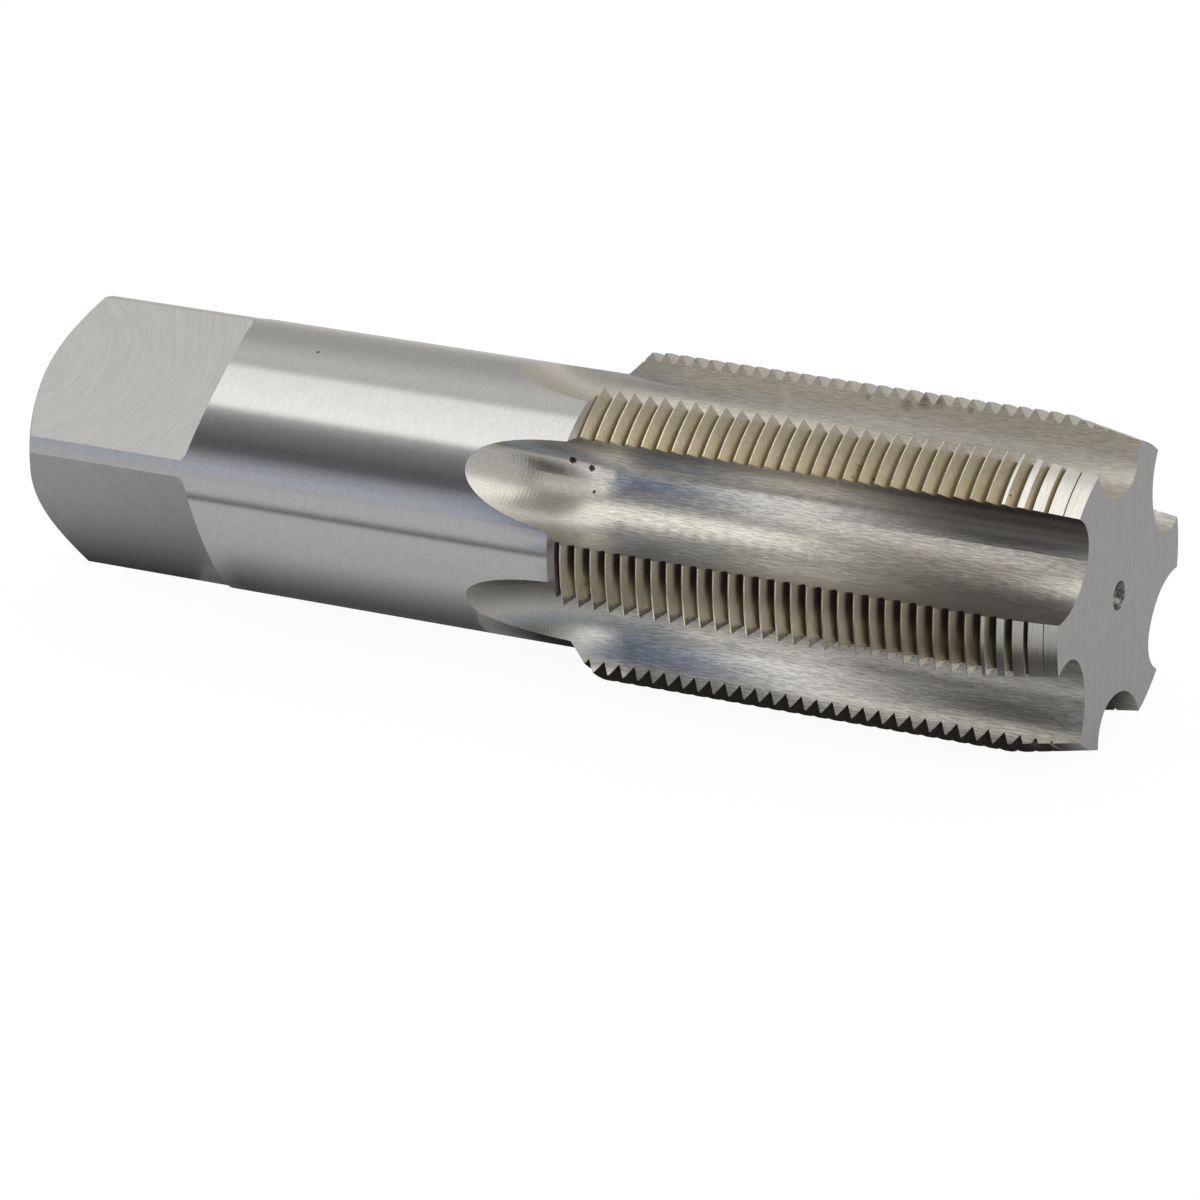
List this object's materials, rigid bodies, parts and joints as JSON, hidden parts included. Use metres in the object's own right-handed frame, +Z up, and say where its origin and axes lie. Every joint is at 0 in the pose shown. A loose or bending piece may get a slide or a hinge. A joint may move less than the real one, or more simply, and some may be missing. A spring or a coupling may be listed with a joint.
{
  "type": "thread tap",
  "caption": "Straight-fluted right-hand hand tap with a tapered lead, a plain ground shank and a milled driving square.",
  "frame": {"origin": "on the tap's axis at its front face, the end that enters the hole first", "axes": "+X along the tap's axis, out of the front face; the driving square is at the far end in -X; +Z up as the tap lies on two of its lands"},
  "size_m": [0.2228, 0.0634, 0.0602],
  "materials": {
    "tool_steel": "ground and milled bare tool steel, lightly straw-coloured in the thread"
  },
  "bodies": {
    "root": {"thread_tap": "tool_steel"}
  },
  "joints": []
}
